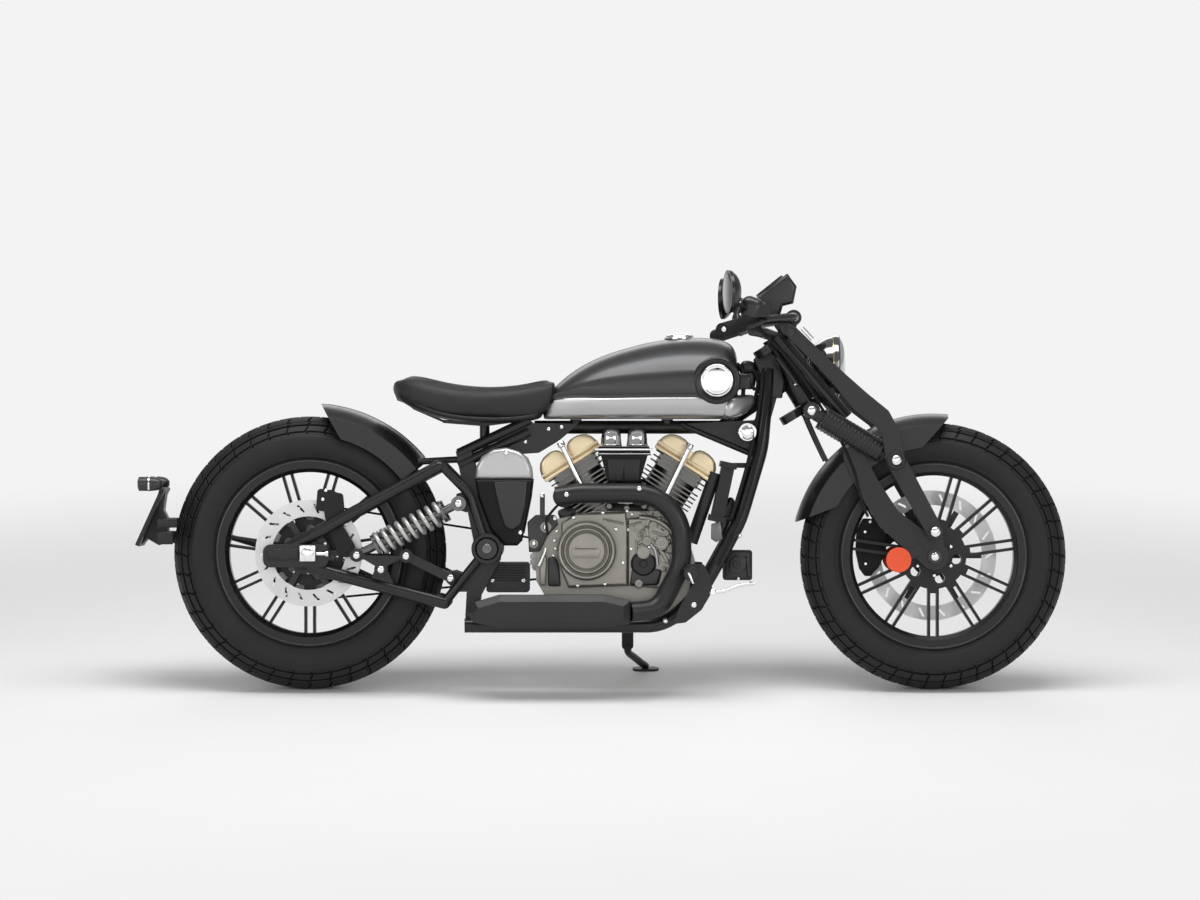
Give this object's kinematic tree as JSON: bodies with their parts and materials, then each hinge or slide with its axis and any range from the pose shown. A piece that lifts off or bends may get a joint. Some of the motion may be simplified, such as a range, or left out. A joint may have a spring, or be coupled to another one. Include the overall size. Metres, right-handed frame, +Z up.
{
  "type": "bobber motorcycle",
  "caption": "Low bobber motorcycle leaning on its side stand, with a V-twin engine, girder-style front end, solo seat and black slotted wheels.",
  "frame": {"origin": "floor level, at the middle of the leaning machine's plan outline", "axes": "+X to the front, +Y to the rider's left, the side it leans to, +Z up from the floor"},
  "size_m": [2.2356, 0.7985, 1.0398],
  "materials": {
    "tyre_rubber": "matte",
    "rim_black": "satin",
    "disc_steel": "brushed",
    "zinc_steel": "satin",
    "belt_rubber": "matte",
    "frame_black": "satin",
    "engine_grey": "satin",
    "fin_black": "satin",
    "head_gold": "satin",
    "chrome_trim": "polished",
    "box_black": "matte",
    "exhaust_black": "satin",
    "silver_paint": "satin",
    "tank_paint": "gloss",
    "seat_leather": "matte",
    "red_lens": "gloss",
    "damper_steel": "satin",
    "spring_silver": "gloss",
    "fender_black": "satin",
    "caliper_black": "satin",
    "girder_grey": "satin",
    "shock_black": "satin",
    "grip_rubber": "matte",
    "mirror_glass": "mirror",
    "lamp_chrome": "polished",
    "instrument_black": "gloss",
    "amber_lens": "gloss"
  },
  "bodies": {
    "chassis": {"drive_belt": "belt_rubber", "front_pulley": "zinc_steel", "frame_spine": "frame_black", "frame_cradle": "frame_black", "frame_rear": "frame_black", "crankcase": "engine_grey", "engine_covers": "engine_grey", "cylinder_front": "fin_black", "cylinder_rear": "fin_black", "rocker_covers": "head_gold", "pushrod_tubes": "chrome_trim", "air_box": "box_black", "intake_stacks": "chrome_trim", "muffler": "exhaust_black", "exhaust_header": "exhaust_black", "radiator": "box_black", "side_covers": "box_black", "side_cover_caps": "silver_paint", "battery_box": "box_black", "fuel_tank": "tank_paint", "fuel_cap": "chrome_trim", "tank_medallions": "chrome_trim", "seat": "seat_leather", "seat_pan": "frame_black", "tail_lamp": "red_lens", "swingarm": "frame_black", "swingarm_bolts": "chrome_trim", "rear_shocks": "damper_steel", "rear_springs": "spring_silver", "rocker_arms": "frame_black", "rear_fender": "fender_black", "rear_caliper": "caliper_black", "tail_bracket": "frame_black", "rear_indicators": "frame_black", "foot_controls": "frame_black", "front_box": "box_black"},
    "fork": {"fork_yokes": "frame_black", "fork_tubes": "frame_black", "girder_arms": "girder_grey", "fork_legs": "frame_black", "fork_shocks": "shock_black", "fork_bolts": "chrome_trim", "handlebar": "frame_black", "grips": "grip_rubber", "bar_controls": "box_black", "mirrors": "mirror_glass", "headlight": "lamp_chrome", "instrument": "instrument_black", "front_caliper": "caliper_black", "reflectors": "amber_lens", "front_fender": "fender_black"},
    "front_wheel": {"front_tyre": "tyre_rubber", "front_rim": "rim_black", "front_disc": "disc_steel"},
    "rear_wheel": {"rear_tyre": "tyre_rubber", "rear_rim": "rim_black", "rear_disc": "disc_steel", "rear_pulley": "zinc_steel"},
    "stand": {"side_stand": "frame_black"}
  },
  "joints": [
    {"name": "steering", "type": "hinge", "parent": "chassis", "child": "fork", "pos_m": [0.40978, -0.00505, 0.8187], "axis": [-0.515, 0.1341, 0.8466], "range_deg": [-32, 32]},
    {"name": "front_wheel_spin", "type": "hinge", "parent": "fork", "child": "front_wheel", "pos_m": [0.79778, -0.08452, 0.31695], "axis": [0, 0.9877, -0.1564], "continuous": true},
    {"name": "rear_wheel_spin", "type": "hinge", "parent": "chassis", "child": "rear_wheel", "pos_m": [-0.70222, -0.08327, 0.32485], "axis": [0, 0.9877, -0.1564], "continuous": true},
    {"name": "side_stand", "type": "hinge", "parent": "chassis", "child": "stand", "pos_m": [0.06278, 0.00115, 0.09077], "axis": [0, 0.8452, 0.5345], "range_deg": [0, 100]}
  ]
}
